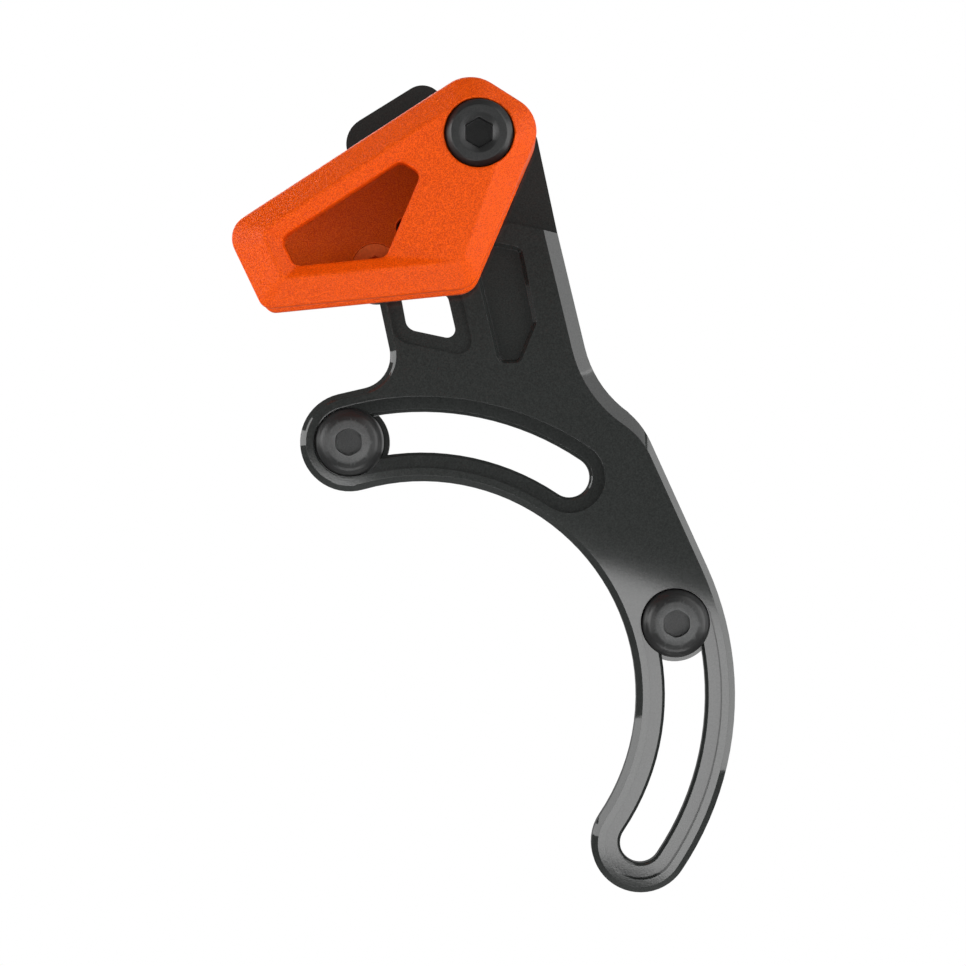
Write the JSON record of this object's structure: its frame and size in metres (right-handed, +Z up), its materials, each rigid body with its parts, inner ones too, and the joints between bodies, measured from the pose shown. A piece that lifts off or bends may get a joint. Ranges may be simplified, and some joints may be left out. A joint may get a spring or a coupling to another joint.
{
  "type": "bicycle chain guide",
  "caption": "Upper chain guide: curved slotted backplate that bolts round a crank, with a two-piece moulded cage at its head that keeps the chain on the ring.",
  "frame": {"origin": "on the crank axis, in the plane of the backplate's back face", "axes": "+X forward, to the right as seen from the chain side; +Y towards the bicycle frame, along the crank axis; +Z up; the chain side faces -Y"},
  "size_m": [0.0754, 0.0337, 0.1228],
  "materials": {
    "black_anodised": "fine bead-blasted, black anodised",
    "orange_guide": "moulded, fine spark-eroded grain",
    "black_screw": "black oxide on steel",
    "orange_screw": "orange anodised",
    "brass": "turned",
    "nut_steel": "zinc plated"
  },
  "bodies": {
    "root": {"backplate": "black_anodised", "inner_guide": "orange_guide", "outer_guide": "orange_guide", "cage_bolt": "black_screw", "cage_bolt_insert": "brass", "height_screw_lower": "orange_screw", "height_screw_upper": "orange_screw", "height_nut_lower": "nut_steel", "height_nut_upper": "nut_steel", "mount_bolt_upper": "black_screw", "mount_bolt_lower": "black_screw", "mount_spacer_upper": "black_anodised", "mount_spacer_lower": "black_anodised"}
  },
  "joints": []
}
